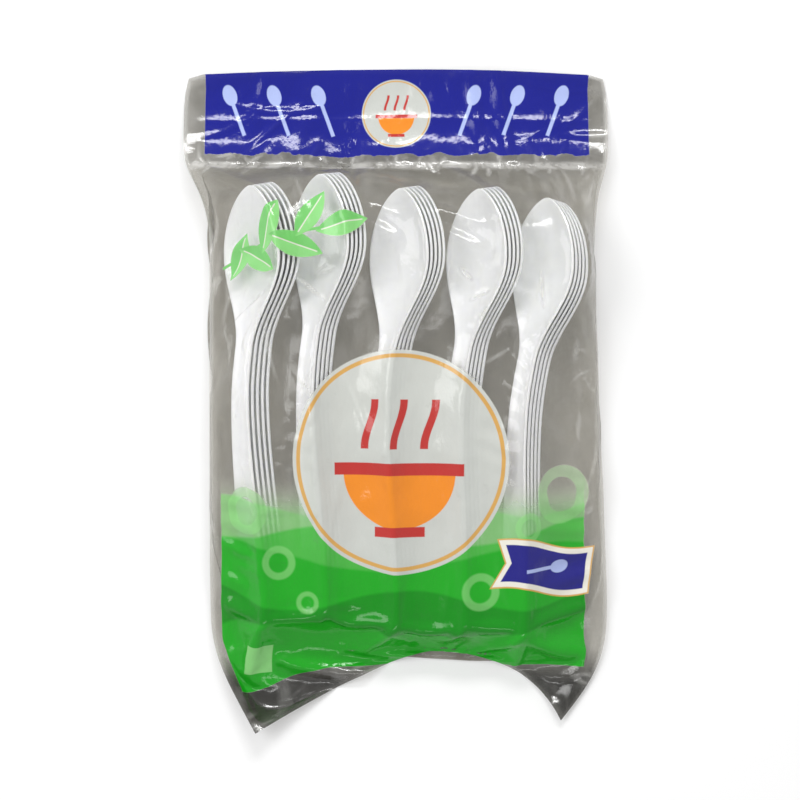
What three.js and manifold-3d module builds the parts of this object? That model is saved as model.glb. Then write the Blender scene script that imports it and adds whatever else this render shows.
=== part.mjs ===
// A sealed clear film pack of plastic spoons, lying on its back.
// Millimetres, +Z up. The printed face looks up and the header points along +Y.
// The origin is under the middle of the pack, on the surface that it lies on.

import * as THREE from 'three';
import Module from 'manifold-3d';
import { ConvexGeometry } from 'three/addons/geometries/ConvexGeometry.js';
import { LoftGeometry } from 'three/addons/geometries/LoftGeometry.js';
import { mergeVertices } from 'three/addons/utils/BufferGeometryUtils.js';

const { clamp, degToRad, lerp, smoothstep } = THREE.MathUtils;

// One spoon
const SPOON_LENGTH = 160;
const SPOON_WALL = 0.9;
const BOWL_LENGTH = 58;
const BOWL_WIDTH = 31;
const BOWL_WIDEST = 25; // from the tip to the widest place of the bowl
const BOWL_TIP = 0.66; // 0.5 is an oval end, and more is more pointed
const BOWL_DEPTH = 6.5;
const BOWL_POWER = 2; // the bowl's section is a parabola
const NECK_WIDTH = 8;
const HANDLE_WIDTH = 13;
const CHANNEL_DEPTH = 1.6; // the hollow that runs down the handle
const CHANNEL_POWER = 3; // the channel's section has a flat floor and steep sides
const ARCH_RISE = 6; // the neck stands this much above the bowl's rim
const ARCH_TOP = 78; // from the tip to the top of the arch

// How finely a spoon is faceted
const ACROSS = 5;
const BOWL_STEPS = 4;
const SHOULDER_STEPS = 4;
const HANDLE_STEPS = 4;
const END_STEPS = 2;
const BLUNT_ANGLE = degToRad(7); // where the round ends stop short of a point

// How the spoons lie: nested in leaning groups that fan out from the handle ends
const LEAN = degToRad(49);
const NEST_GAP = 0.4; // room between nested spoons, measured square to their rims
const GROUP_SIZE = 5;
const FAN_FIRST = degToRad(0.4);
const FAN_STEP = degToRad(1.25);
// gap is the extra room before a group, and drop how far it lies below the highest one;
// each of its spoons lies further up than the one before by slide, and lower by sink
const GROUPS = [
  { letter: 'a', gap: 0, drop: 4, slide: 0.3, sink: 1.15 },
  { letter: 'b', gap: 0.5, drop: 0, slide: 0.2, sink: 1.2 },
  { letter: 'c', gap: 5, drop: 5, slide: 0.3, sink: 1.25 },
  { letter: 'd', gap: 4.5, drop: 5, slide: 0.3, sink: 1.25 },
  { letter: 'e', gap: 0.5, drop: 8, slide: -0.3, sink: 1.25 },
];

// The film bag
const FILM = 0.4;
const CLEARANCE = 0.3; // between the film and what it holds
const SEAM_HEIGHT = 8; // where front and back film meet, above the surface
const SIDE_SLACK = 3; // room beside the spoons
const END_GAP = 2.5; // room above the tips and below the handles
const SIDE_SEAM = 2;
const BACK_INSET = 14; // from the side folds to the flat of the back
const HEADER_HEIGHT = 34;
const HEADER_OVERHANG = { left: 9.5, right: 3.5 }; // how far the flat header passes the filled body
const HEADER_CORNER = 7;
const HEADER_CROWN = 2; // the top edge bows up in the middle
const WAIST_DROP = 27; // from the seal down to where the body is narrowest
const BELLY_BULGE = 3; // the right side swells near its foot
const EAR_LEFT = { length: 29, inset: 17 };
const EAR_RIGHT = { length: 25, inset: 12 };
const NOTCH_SHIFT = 10; // the notch between the loose corners, right of the middle
const CURVE_STEPS = 8;
const VENT_RADIUS = 3;
const VENT_DROP = 40; // from the seal down to the air vent in the back
const VENT_SIDES = 24;

const SPOON_WHITE = new THREE.MeshStandardMaterial({ color: 0xe6ebe4, roughness: 0.3, metalness: 0 });
const FILM_CLEAR = new THREE.MeshStandardMaterial({
  color: 0xb9b4aa,
  roughness: 0.15,
  metalness: 0,
  transparent: true,
  opacity: 0.45,
});

const wasm = await Module();
wasm.setup();

// A spoon's shape, by the distance s from its tip and the place a across it, from -1 to 1

function halfWidth(s) {
  if (s < BOWL_WIDEST) {
    const left = 1 - s / BOWL_WIDEST;
    return (BOWL_WIDTH / 2) * Math.max(0, 1 - left * left) ** BOWL_TIP;
  }
  const shoulder = clamp((s - BOWL_WIDEST) / (BOWL_LENGTH - BOWL_WIDEST), 0, 1);
  const waist = lerp(NECK_WIDTH, BOWL_WIDTH, (1 + Math.cos(Math.PI * shoulder)) / 2);
  const flare = (HANDLE_WIDTH - NECK_WIDTH) * smoothstep(s, BOWL_LENGTH, SPOON_LENGTH);
  return ((waist + flare) / 2) * endRound(s);
}

function endRound(s) {
  const radius = HANDLE_WIDTH / 2;
  const past = Math.max(0, s - SPOON_LENGTH + radius) / radius;
  return Math.sqrt(Math.max(0, 1 - past * past));
}

function depth(s) {
  if (s < BOWL_WIDEST) {
    const left = 1 - s / BOWL_WIDEST;
    return BOWL_DEPTH * (1 - left * left);
  }
  const shoulder = clamp((s - BOWL_WIDEST) / (BOWL_LENGTH - BOWL_WIDEST), 0, 1);
  const floor = lerp(CHANNEL_DEPTH, BOWL_DEPTH, (1 + Math.cos(Math.PI * shoulder)) / 2);
  return floor * endRound(s) ** 2;
}

function power(s) {
  return lerp(BOWL_POWER, CHANNEL_POWER, smoothstep(s, BOWL_WIDEST, BOWL_LENGTH));
}

function arch(s) {
  return ARCH_RISE * (smoothstep(s, BOWL_WIDEST, ARCH_TOP) - smoothstep(s, ARCH_TOP, SPOON_LENGTH));
}

function topHeight(s, a) {
  return arch(s) - depth(s) * (1 - Math.abs(a) ** power(s));
}

function bottomHeight(s, a) {
  const slope = (depth(s) * power(s) * Math.abs(a) ** (power(s) - 1)) / halfWidth(s);
  return topHeight(s, a) - SPOON_WALL * Math.hypot(1, slope);
}

function spoonStations() {
  const stations = [];
  for (let i = 0; i <= BOWL_STEPS; i++) {
    stations.push(BOWL_WIDEST * (1 - Math.cos(lerp(BLUNT_ANGLE, Math.PI / 2, i / BOWL_STEPS))));
  }
  for (let i = 1; i <= SHOULDER_STEPS; i++) {
    stations.push(lerp(BOWL_WIDEST, BOWL_LENGTH, i / SHOULDER_STEPS));
  }
  const roundStart = SPOON_LENGTH - HANDLE_WIDTH / 2;
  for (let i = 1; i <= HANDLE_STEPS; i++) {
    stations.push(lerp(BOWL_LENGTH, roundStart, i / HANDLE_STEPS));
  }
  for (let i = 1; i <= END_STEPS; i++) {
    const angle = lerp(0, Math.PI / 2 - BLUNT_ANGLE, i / END_STEPS);
    stations.push(roundStart + (HANDLE_WIDTH / 2) * Math.sin(angle));
  }
  return stations;
}

function acrossPlaces() {
  return Array.from({ length: ACROSS + 1 }, (_, i) => lerp(-1, 1, i / ACROSS));
}

// One ring around the spoon: over the hollow side, and back along the underside
function spoonRing(s) {
  const y = SPOON_LENGTH - s;
  const places = acrossPlaces();
  const top = places.map((a) => new THREE.Vector3(a * halfWidth(s), y, topHeight(s, a)));
  const bottom = places.map((a) => new THREE.Vector3(a * halfWidth(s), y, bottomHeight(s, a)));
  return [...top, ...bottom.reverse()];
}

function closedGeometry(geometry) {
  const bare = new THREE.BufferGeometry().copy(geometry);
  bare.deleteAttribute('normal');
  bare.deleteAttribute('uv');
  const merged = mergeVertices(bare);
  merged.computeVertexNormals();
  return merged;
}

function spoonGeometry() {
  const rings = spoonStations().reverse().map(spoonRing);
  return closedGeometry(new LoftGeometry(rings, { capStart: true, capEnd: true }));
}

// How far apart leaning spoons stand, measured along the row, so that none cuts the next

function onFacets(height, s, x) {
  const cell = ((x / halfWidth(s) + 1) / 2) * ACROSS;
  const first = clamp(Math.floor(cell), 0, ACROSS - 1);
  const low = lerp(-1, 1, first / ACROSS);
  const high = lerp(-1, 1, (first + 1) / ACROSS);
  return lerp(height(s, low), height(s, high), cell - first);
}

function clears(step, rise, slide) {
  const stations = spoonStations();
  const across = step * Math.cos(LEAN) + rise * Math.sin(LEAN);
  const drop = step * Math.sin(LEAN) - rise * Math.cos(LEAN);
  for (const s of stations) {
    const above = clamp(s - slide, stations[0], stations.at(-1));
    for (const a of acrossPlaces()) {
      const x = a * halfWidth(s) + across;
      if (Math.abs(x) > halfWidth(above)) continue;
      const room = onFacets(bottomHeight, above, x) - (topHeight(s, a) - drop);
      if (room < NEST_GAP) return false;
    }
  }
  return true;
}

function rowStep(rise, slide) {
  let step = SPOON_WALL;
  while (!clears(step, rise, slide)) step += NEST_GAP / 10;
  return step;
}

// The contents: groups of leaning spoons, each group set down on the back film

const floorHeight = FILM + CLEARANCE;
const restTilt = Math.atan2(
  ((BOWL_WIDTH - HANDLE_WIDTH) / 2) * Math.sin(LEAN),
  SPOON_LENGTH - BOWL_WIDEST - HANDLE_WIDTH / 2,
);

function spoonGroup({ letter, drop, slide, sink }, geometry, place, fan) {
  const group = new THREE.Group();
  const step = rowStep(-sink, slide);
  for (let i = 0; i < GROUP_SIZE; i++) {
    const spoon = new THREE.Mesh(geometry, SPOON_WHITE);
    spoon.name = `spoon_${letter}${i + 1}`;
    spoon.position.set(i * step, i * slide, -i * sink);
    spoon.rotation.y = -LEAN;
    group.add(spoon);
  }
  group.rotation.set(restTilt, 0, fan, 'ZXY');
  group.position.set(place, -drop, 0);
  group.updateMatrixWorld(true);
  group.position.z = floorHeight - new THREE.Box3().setFromObject(group, true).min.z;
  return group;
}

function spoonContents() {
  const contents = new THREE.Group();
  const geometry = spoonGeometry();
  const last = GROUP_SIZE - 1;
  let place = 0;
  GROUPS.forEach((group, k) => {
    place += group.gap;
    contents.add(spoonGroup(group, geometry, place, FAN_FIRST - k * FAN_STEP));
    place += last * rowStep(-group.sink, group.slide) + rowStep(last * group.sink, 0);
  });
  contents.updateMatrixWorld(true);
  return contents;
}

function worldPoints(object) {
  const points = [];
  object.traverse((child) => {
    if (!child.isMesh) return;
    const position = child.geometry.getAttribute('position');
    for (let i = 0; i < position.count; i++) {
      points.push(new THREE.Vector3().fromBufferAttribute(position, i).applyMatrix4(child.matrixWorld));
    }
  });
  return points;
}

// Solids that are joined and cut

function toSolid(geometry) {
  const merged = closedGeometry(geometry);
  return new wasm.Manifold(
    new wasm.Mesh({
      numProp: 3,
      vertProperties: new Float32Array(merged.getAttribute('position').array),
      triVerts: new Uint32Array(merged.getIndex().array),
    }),
  );
}

function toGeometry(solid) {
  const mesh = solid.getMesh();
  const geometry = new THREE.BufferGeometry();
  geometry.setAttribute('position', new THREE.BufferAttribute(mesh.vertProperties, 3));
  geometry.setIndex(new THREE.BufferAttribute(mesh.triVerts, 1));
  geometry.computeVertexNormals();
  return geometry;
}

// The film drawn tight over the contents, with a margin all round

function hullPoints(points) {
  const hull = new THREE.Mesh(closedGeometry(new ConvexGeometry(points)));
  return worldPoints(hull);
}

function grownHull(points, margin) {
  const grown = [];
  for (const point of points) {
    for (const x of [-margin, margin]) {
      for (const y of [-margin, margin]) {
        for (const z of [-margin, margin]) grown.push(point.clone().add(new THREE.Vector3(x, y, z)));
      }
    }
  }
  return toSolid(new ConvexGeometry(grown));
}

function rectangle(box, inset, z) {
  const corners = [];
  for (const x of [box.min.x + inset, box.max.x - inset]) {
    for (const y of [box.min.y + inset, box.max.y - inset]) corners.push(new THREE.Vector3(x, y, z));
  }
  return corners;
}

// The flat film around the filled body: header, side seams and the two loose corners at the foot
function filmOutline(body) {
  const left = body.min.x - SIDE_SEAM;
  const right = body.max.x + SIDE_SEAM;
  const seal = body.max.y;
  const foot = body.min.y;
  const middle = (left + right) / 2;
  const headerLeft = left - HEADER_OVERHANG.left;
  const headerRight = right + HEADER_OVERHANG.right;
  const top = seal + HEADER_HEIGHT;
  const waist = seal - WAIST_DROP;
  const earRight = right - EAR_RIGHT.inset;

  const shape = new THREE.Shape();
  shape.moveTo(left + EAR_LEFT.inset, foot - EAR_LEFT.length);
  shape.quadraticCurveTo(middle, foot, middle + NOTCH_SHIFT, foot);
  shape.quadraticCurveTo(earRight - EAR_RIGHT.inset, foot, earRight, foot - EAR_RIGHT.length);
  shape.quadraticCurveTo(right, foot - EAR_RIGHT.length / 2, right + BELLY_BULGE, foot);
  shape.bezierCurveTo(right + BELLY_BULGE, (foot + waist) / 2, right, (foot + waist) / 2, right, waist);
  shape.quadraticCurveTo(right, seal - HEADER_OVERHANG.right, headerRight, seal);
  shape.lineTo(headerRight, top - HEADER_CORNER);
  shape.quadraticCurveTo(headerRight, top, headerRight - HEADER_CORNER, top);
  shape.quadraticCurveTo(middle, top + 2 * HEADER_CROWN, headerLeft + HEADER_CORNER, top);
  shape.quadraticCurveTo(headerLeft, top, headerLeft, top - HEADER_CORNER);
  shape.lineTo(headerLeft, seal);
  shape.quadraticCurveTo(left, seal - HEADER_OVERHANG.left, left, waist);
  shape.lineTo(left, foot);
  shape.closePath();
  return shape;
}

function filmSheet(body) {
  const options = { depth: 2 * FILM, bevelEnabled: false, curveSegments: CURVE_STEPS };
  const sheet = new THREE.ExtrudeGeometry(filmOutline(body), options);
  sheet.translate(0, 0, SEAM_HEIGHT - FILM);
  return toSolid(sheet);
}

function ventCutter(body) {
  const reach = 4 * floorHeight;
  const cutter = new THREE.CylinderGeometry(VENT_RADIUS, VENT_RADIUS, reach, VENT_SIDES);
  cutter.rotateX(Math.PI / 2);
  cutter.translate((body.min.x + body.max.x) / 2, body.max.y - VENT_DROP, 0);
  return toSolid(cutter);
}

function bagFilm(contents) {
  const box = new THREE.Box3().setFromObject(contents, true);
  const body = new THREE.Box2(
    new THREE.Vector2(box.min.x - SIDE_SLACK, box.min.y - END_GAP),
    new THREE.Vector2(box.max.x + SIDE_SLACK, box.max.y + END_GAP),
  );
  const points = [
    ...hullPoints(worldPoints(contents)),
    ...rectangle(body, 0, SEAM_HEIGHT),
    ...rectangle(body, BACK_INSET, floorHeight),
  ];
  const film = grownHull(points, floorHeight)
    .add(filmSheet(body))
    .subtract(grownHull(points, CLEARANCE))
    .subtract(ventCutter(body));
  const mesh = new THREE.Mesh(toGeometry(film), FILM_CLEAR);
  mesh.name = 'bag_film';
  return mesh;
}

const contents = spoonContents();
const bag = bagFilm(contents);
const inside = new THREE.Group();
inside.add(bag, contents);

const middle = new THREE.Box3().setFromObject(bag, true).getCenter(new THREE.Vector3());
inside.position.set(-middle.x, -middle.y, 0);

const pack = new THREE.Group();
pack.add(inside);
pack.updateMatrixWorld(true);

export default pack;
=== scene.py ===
# %% [markdown]
# # A film bag of plastic spoons
# This lesson dresses a CAD model for its portrait: 25 white spoons, lying in five leaning rows in a clear
# film bag with a printed face. The CAD model fixes every size. Blender adds what CAD leaves plain: smooth
# spoons, film that drapes and creases, print, gloss and light. All lengths below are millimetres until a
# mesh is made.

import math

import bpy
import numpy as np
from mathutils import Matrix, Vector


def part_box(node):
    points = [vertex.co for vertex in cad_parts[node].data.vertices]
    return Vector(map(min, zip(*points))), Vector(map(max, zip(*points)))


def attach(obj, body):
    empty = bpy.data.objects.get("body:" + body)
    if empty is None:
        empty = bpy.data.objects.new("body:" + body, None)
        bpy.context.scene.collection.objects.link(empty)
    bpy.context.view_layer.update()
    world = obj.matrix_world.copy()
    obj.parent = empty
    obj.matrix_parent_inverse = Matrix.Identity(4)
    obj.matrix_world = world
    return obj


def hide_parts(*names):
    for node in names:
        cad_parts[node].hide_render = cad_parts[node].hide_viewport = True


MM = 0.001

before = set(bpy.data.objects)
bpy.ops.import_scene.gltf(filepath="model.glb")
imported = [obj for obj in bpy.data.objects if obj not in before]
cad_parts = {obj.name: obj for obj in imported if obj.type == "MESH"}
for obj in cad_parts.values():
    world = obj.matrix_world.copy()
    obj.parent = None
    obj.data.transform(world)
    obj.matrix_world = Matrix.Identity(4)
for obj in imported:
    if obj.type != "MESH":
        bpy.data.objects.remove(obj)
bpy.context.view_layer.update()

# %% [markdown]
# ## The camera
# The photograph looks straight down on the face of the pack. A Blender camera with no rotation already
# looks down along Z with Y up, so it only needs a height and a lens. The lens comes from the scale of the
# photograph: a long one, far away, keeps the sides of the pack upright as a product picture does.

# %% Set the camera over the pack
IMAGE_PIXELS = 800
MM_PER_PIXEL = 0.36
PACK_MIDDLE_PIXEL = 396
SEAM_HEIGHT = 8.0
CAMERA_DISTANCE = 1100.0
SENSOR_WIDTH = 36.0

scene = bpy.context.scene
scene.view_settings.view_transform = "Standard"

camera_data = bpy.data.cameras.new("pack_camera")
camera_data.sensor_width = SENSOR_WIDTH
camera_data.lens = SENSOR_WIDTH * CAMERA_DISTANCE / (IMAGE_PIXELS * MM_PER_PIXEL)
camera = bpy.data.objects.new("pack_camera", camera_data)
camera_x = (IMAGE_PIXELS / 2 - PACK_MIDDLE_PIXEL) * MM_PER_PIXEL
camera.location = (camera_x * MM, 0, (SEAM_HEIGHT + CAMERA_DISTANCE) * MM)
scene.collection.objects.link(camera)
scene.camera = camera
print("lens in mm:", round(camera_data.lens, 1))

# %% [markdown]
# ## Arithmetic in a node tree
# The finishes and the print below are all worked out by nodes. Adding Math nodes one by one makes long
# code, so this small class stands for one output socket and lets plain + - * / build the nodes. A picture
# would be quicker to draw, but a worked-out print stays sharp at any distance and follows the film wherever
# it folds.

# %% Nodes, and a number that changes over a surface
def plug(tree, value, socket):
    """Links a Field, a socket or a node's first output to a socket, or sets the socket to a plain value."""
    if isinstance(value, Field):
        value = value.socket
    if isinstance(value, bpy.types.Node):
        value = value.outputs[0]
    if isinstance(value, bpy.types.NodeSocket):
        tree.links.new(value, socket)
    else:
        socket.default_value = value


def add_node(tree, kind, inputs=None, **settings):
    """A new shader node, with its settings made and its inputs plugged by name or by number."""
    node = tree.nodes.new("ShaderNode" + kind)
    for name, value in settings.items():
        setattr(node, name, value)
    for key, value in (inputs or {}).items():
        plug(tree, value, node.inputs[key])
    return node


class Field:
    """One output socket of a node tree, used in sums as if it were a number."""

    def __init__(self, tree, socket):
        self.tree = tree
        self.socket = socket

    def math(self, operation, *values):
        node = add_node(self.tree, "Math", dict(enumerate(values)), operation=operation)
        return Field(self.tree, node.outputs[0])

    def __add__(self, other):
        return self.math("ADD", self, other)

    def __sub__(self, other):
        return self.math("SUBTRACT", self, other)

    def __rsub__(self, other):
        return self.math("SUBTRACT", other, self)

    def __mul__(self, other):
        return self.math("MULTIPLY", self, other)

    def __truediv__(self, other):
        return self.math("DIVIDE", self, other)

    __radd__ = __add__
    __rmul__ = __mul__

    def power(self, exponent):
        return self.math("POWER", self, exponent)

    def size(self):
        return self.math("ABSOLUTE", self)

    def sine(self):
        return self.math("SINE", self)

    def root(self):
        return self.math("SQRT", self)

    def least(self, other):
        return self.math("MINIMUM", self, other)

    def most(self, other):
        return self.math("MAXIMUM", self, other)

    def ramp(self, low, high):
        """Rises smoothly from 0 where the number is low to 1 where it is high."""
        inputs = {"Value": self, "From Min": low, "From Max": high}
        node = add_node(self.tree, "MapRange", inputs, interpolation_type="SMOOTHSTEP")
        return Field(self.tree, node.outputs["Result"])


print("a field can:", [name for name in vars(Field) if not name.startswith("_")])

# %% A new material, and noise to vary it
COLOUR_INPUTS = (6, 7)
COLOUR_OUTPUT = 2


def new_material(name):
    """An empty node material and its tree."""
    material = bpy.data.materials.new(name)
    material.use_nodes = True
    material.node_tree.nodes.clear()
    return material, material.node_tree


def noise(tree, vector, scale, detail=2.0, roughness=0.5):
    """Soft random blotches from 0 to 1, so many to each unit of the vector."""
    inputs = {"Vector": vector, "Scale": scale, "Detail": detail, "Roughness": roughness}
    return Field(tree, add_node(tree, "TexNoise", inputs).outputs["Fac"])


def blend_colours(tree, share, first, second):
    """A colour between two others. A Mix node also has inputs for numbers, so its colours go by number."""
    inputs = {0: share, COLOUR_INPUTS[0]: first, COLOUR_INPUTS[1]: second}
    return Field(tree, add_node(tree, "Mix", inputs, data_type="RGBA").outputs[COLOUR_OUTPUT])


def bump(tree, height, distance, strength):
    """A surface normal that leans as a height field says. The distance is in metres."""
    inputs = {"Strength": strength, "Distance": distance, "Height": height}
    return add_node(tree, "Bump", inputs).outputs["Normal"]


print("materials can use noise, blend_colours and bump")

# %% [markdown]
# ## The floor
# A product picture stands on white paper. A white plane lit by the same lamps gives the soft shadow under
# the bag. Paper is never quite as white as the page of a catalogue, so rays from the camera, and those seen
# in a gloss or through the film, meet a little light of the paper's own. The lamps stay as they are.

# %% Lay the paper
FLOOR_SIDE = 6000.0
FLOOR_DROP = 0.1
PAPER_WHITE = (0.8, 0.8, 0.8, 1)
PAPER_GLOW = 0.16


def paper_material():
    """White paper, with a little light of its own for the rays that reach the eye."""
    material, tree = new_material("white_paper")
    rays = add_node(tree, "LightPath").outputs
    seen = Field(tree, rays["Is Camera Ray"])
    for kind in ("Is Glossy Ray", "Is Transmission Ray"):
        seen = seen.most(Field(tree, rays[kind]))
    paper = add_node(tree, "BsdfDiffuse", {"Color": PAPER_WHITE})
    glow = add_node(tree, "Emission", {"Strength": seen * PAPER_GLOW})
    both = add_node(tree, "AddShader", {0: paper, 1: glow})
    add_node(tree, "OutputMaterial", {"Surface": both})
    return material


def flat_square(name, side, height):
    half = side / 2 * MM
    corners = [(-half, -half, 0), (half, -half, 0), (half, half, 0), (-half, half, 0)]
    mesh = bpy.data.meshes.new(name)
    mesh.from_pydata(corners, [], [(0, 1, 2, 3)])
    square = bpy.data.objects.new(name, mesh)
    square.location.z = height * MM
    scene.collection.objects.link(square)
    return square


floor = flat_square("paper_floor", FLOOR_SIDE, -FLOOR_DROP)
floor.data.materials.append(paper_material())
print("floor side in mm:", FLOOR_SIDE)

# %% [markdown]
# ## The light
# Film shows itself by what it mirrors. A light tent is the usual way to picture it: bright walls all round,
# and a dimmer hole overhead for the lens, so level film mirrors little and its print keeps its colour. The
# World is the tent, with its brightness worked out from the direction. A softbox beyond the top of the pack
# puts a glare on the film over the bowls, a weak one on the near side brings out the foot, and a broad fill
# at the left looks into the hollow sides of the leaning spoons.

# %% Hang the lamps
TENT_WHITE = (1, 1, 1, 1)
TENT_STRENGTH = 0.66
HOLE_STRENGTH = 0.5
HOLE_EDGE = (0.5, 0.84)
SOFTBOX_SIZE = (520.0, 130.0)
FILL_SIZE = (600.0, 700.0)
LAMPS = [
    # name, place, size and power
    ("softbox_beyond", (40.0, 800.0, 700.0), SOFTBOX_SIZE, 4.6),
    ("softbox_near", (60.0, -620.0, 850.0), SOFTBOX_SIZE, 0.9),
    ("fill_at_left", (-700.0, 260.0, 980.0), FILL_SIZE, 5.4),
]


def softbox(name, place, size, power):
    """A rectangular lamp that faces the middle of the pack."""
    lamp = bpy.data.lights.new(name, "AREA")
    lamp.shape = "RECTANGLE"
    lamp.size = size[0] * MM
    lamp.size_y = size[1] * MM
    lamp.energy = power
    light = bpy.data.objects.new(name, lamp)
    light.location = [side * MM for side in place]
    light.rotation_mode = "QUATERNION"
    light.rotation_quaternion = (-light.location).to_track_quat("-Z", "Y")
    scene.collection.objects.link(light)


def light_tent():
    """A world that is bright all round and dimmer straight above."""
    world = bpy.data.worlds.new("light_tent")
    world.use_nodes = True
    tree = world.node_tree
    direction = add_node(tree, "TexCoord").outputs["Generated"]
    upward = Field(tree, add_node(tree, "SeparateXYZ", {0: direction}).outputs["Z"])
    strength = upward.ramp(*HOLE_EDGE) * (HOLE_STRENGTH - TENT_STRENGTH) + TENT_STRENGTH
    walls = tree.nodes["Background"]
    plug(tree, TENT_WHITE, walls.inputs["Color"])
    plug(tree, strength, walls.inputs["Strength"])
    return world


scene.world = light_tent()
for lamp_settings in LAMPS:
    softbox(*lamp_settings)

# %% [markdown]
# ## The spoons
# A moulded spoon is a thin shell: a bowl, a neck and a channelled handle. It could be boxed out and
# subdivided, but its section is easy to write as a formula of the distance from the tip, which is how the
# CAD model has it. The formula is sampled more finely here, and the rim is rounded so that it catches a
# line of light.

# %% The spoon's section
SPOON_LENGTH = 160.0
SPOON_WALL = 0.9
BOWL_LENGTH = 58.0
BOWL_WIDTH = 31.0
BOWL_WIDEST = 25.0
BOWL_TIP = 0.66
BOWL_DEPTH = 6.5
NECK_WIDTH = 8.0
HANDLE_WIDTH = 13.0
CHANNEL_DEPTH = 1.6
ARCH_RISE = 6.0
ARCH_TOP = 78.0
RIM_ROUND = 0.18
LEAST_HALF_WIDTH = 0.1


def smoothstep(value, low, high):
    share = np.clip((value - low) / (high - low), 0, 1)
    return share * share * (3 - 2 * share)


def handle_end_round(s):
    past = np.maximum(0, s - SPOON_LENGTH + HANDLE_WIDTH / 2) / (HANDLE_WIDTH / 2)
    return np.sqrt(np.maximum(0, 1 - past**2))


def shoulder(s):
    """1 at the widest part of the bowl, falling to 0 at the neck."""
    share = np.clip((s - BOWL_WIDEST) / (BOWL_LENGTH - BOWL_WIDEST), 0, 1)
    return (1 + np.cos(np.pi * share)) / 2


def spoon_half_width(s):
    before = np.maximum(0, 1 - (1 - s / BOWL_WIDEST) ** 2) ** BOWL_TIP * BOWL_WIDTH
    flare = (HANDLE_WIDTH - NECK_WIDTH) * smoothstep(s, BOWL_LENGTH, SPOON_LENGTH)
    after = (NECK_WIDTH + (BOWL_WIDTH - NECK_WIDTH) * shoulder(s) + flare) * handle_end_round(s)
    return np.where(s < BOWL_WIDEST, before, after) / 2


def spoon_depth(s):
    before = BOWL_DEPTH * (1 - (1 - s / BOWL_WIDEST) ** 2)
    after = (CHANNEL_DEPTH + (BOWL_DEPTH - CHANNEL_DEPTH) * shoulder(s)) * handle_end_round(s) ** 2
    return np.where(s < BOWL_WIDEST, before, after)


def spoon_heights(s, across):
    """The hollow face and the underside, at a distance from the tip and a share of the half width."""
    curve = 2 + smoothstep(s, BOWL_WIDEST, BOWL_LENGTH)
    arch = ARCH_RISE * (smoothstep(s, BOWL_WIDEST, ARCH_TOP) - smoothstep(s, ARCH_TOP, SPOON_LENGTH))
    side = np.abs(across)
    face = arch - spoon_depth(s) * (1 - side**curve)
    slope = spoon_depth(s) * curve * side ** (curve - 1) / np.maximum(spoon_half_width(s), LEAST_HALF_WIDTH)
    return face, face - SPOON_WALL * np.hypot(1, slope)


print("bowl half width at its widest:", float(spoon_half_width(np.array(BOWL_WIDEST))))

# %% [markdown]
# Each ring of points runs over the hollow face, round one rim, back along the underside and round the other
# rim. Places along and across are packed closer near the tip, the handle's end and the rims, where the
# shape turns fastest. Joining the rings with quads and closing both ends makes a watertight shell.

# %% Rings of points along one spoon
RING_COUNT = 90
ACROSS_COUNT = 15
END_TRIM = 0.012


def spoon_rings():
    """Points in rows, one ring in each row, with the handle's end at y 0 and the hollow face up."""
    turn = np.linspace(END_TRIM, 1 - END_TRIM, RING_COUNT)
    s = (SPOON_LENGTH * (1 - np.cos(np.pi * turn)) / 2)[:, None]
    across = np.sin(np.linspace(-np.pi / 2, np.pi / 2, ACROSS_COUNT))[None, :]
    width = spoon_half_width(s)
    face, under = spoon_heights(s, across)
    along = np.broadcast_to(SPOON_LENGTH - s, face.shape)
    top = np.stack([across * width, along, face], axis=-1)
    low = np.stack([across * width, along, under], axis=-1)
    rims = []
    for edge, outward in ((0, -RIM_ROUND), (-1, RIM_ROUND)):
        middle = (top[:, edge] + low[:, edge]) / 2
        middle[:, 0] += outward
        rims.append(middle[:, None])
    return np.concatenate([top, rims[1], low[:, ::-1], rims[0]], axis=1)


def ring_faces(rings, points):
    faces = []
    for ring in range(rings - 1):
        for point in range(points):
            after = (point + 1) % points
            start = ring * points
            faces.append((start + point, start + after, start + points + after, start + points + point))
    faces.append(tuple(range(points))[::-1])
    faces.append(tuple(range((rings - 1) * points, rings * points)))
    return faces


ring_points = spoon_rings()
spoon_faces = ring_faces(*ring_points.shape[:2])
print("one spoon has", ring_points.shape[0] * ring_points.shape[1], "points")

# %% [markdown]
# The spoons are nested by fives, the nests lean like books on a shelf, and each is turned a little further,
# like a fan. The angles are the CAD model's. Where each spoon stands is read from its CAD node: turning the
# fine spoon the same way and matching the middles of the two boxes puts it exactly in its place in the
# nest.

# %% Where each spoon stands
LEAN = math.radians(49)
FAN_FIRST = math.radians(0.4)
FAN_STEP = math.radians(1.25)
GROUP_LETTERS = "abcde"
GROUP_SIZE = 5
REST_TILT = math.atan2(
    (BOWL_WIDTH - HANDLE_WIDTH) / 2 * math.sin(LEAN), SPOON_LENGTH - BOWL_WIDEST - HANDLE_WIDTH / 2
)


def turned(points, axis, angle):
    """Points turned about one axis of the frame."""
    first, second = [(1, 2), (2, 0), (0, 1)]["xyz".index(axis)]
    result = points.copy()
    result[..., first] = points[..., first] * math.cos(angle) - points[..., second] * math.sin(angle)
    result[..., second] = points[..., first] * math.sin(angle) + points[..., second] * math.cos(angle)
    return result


def box_middle(node):
    low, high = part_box(node)
    return np.array((low + high) / 2) / MM


def standing_spoons():
    """The name and the ring points of every spoon, in the frame of the CAD model."""
    leaning = turned(turned(ring_points, "y", -LEAN), "x", REST_TILT)
    spoons = {}
    for group, letter in enumerate(GROUP_LETTERS):
        fanned = turned(leaning, "z", FAN_FIRST - group * FAN_STEP)
        flat = fanned.reshape(-1, 3)
        middle = (flat.min(axis=0) + flat.max(axis=0)) / 2
        for number in range(1, GROUP_SIZE + 1):
            node = f"spoon_{letter}{number}"
            spoons[node] = fanned - middle + box_middle(node)
    return spoons


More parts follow.
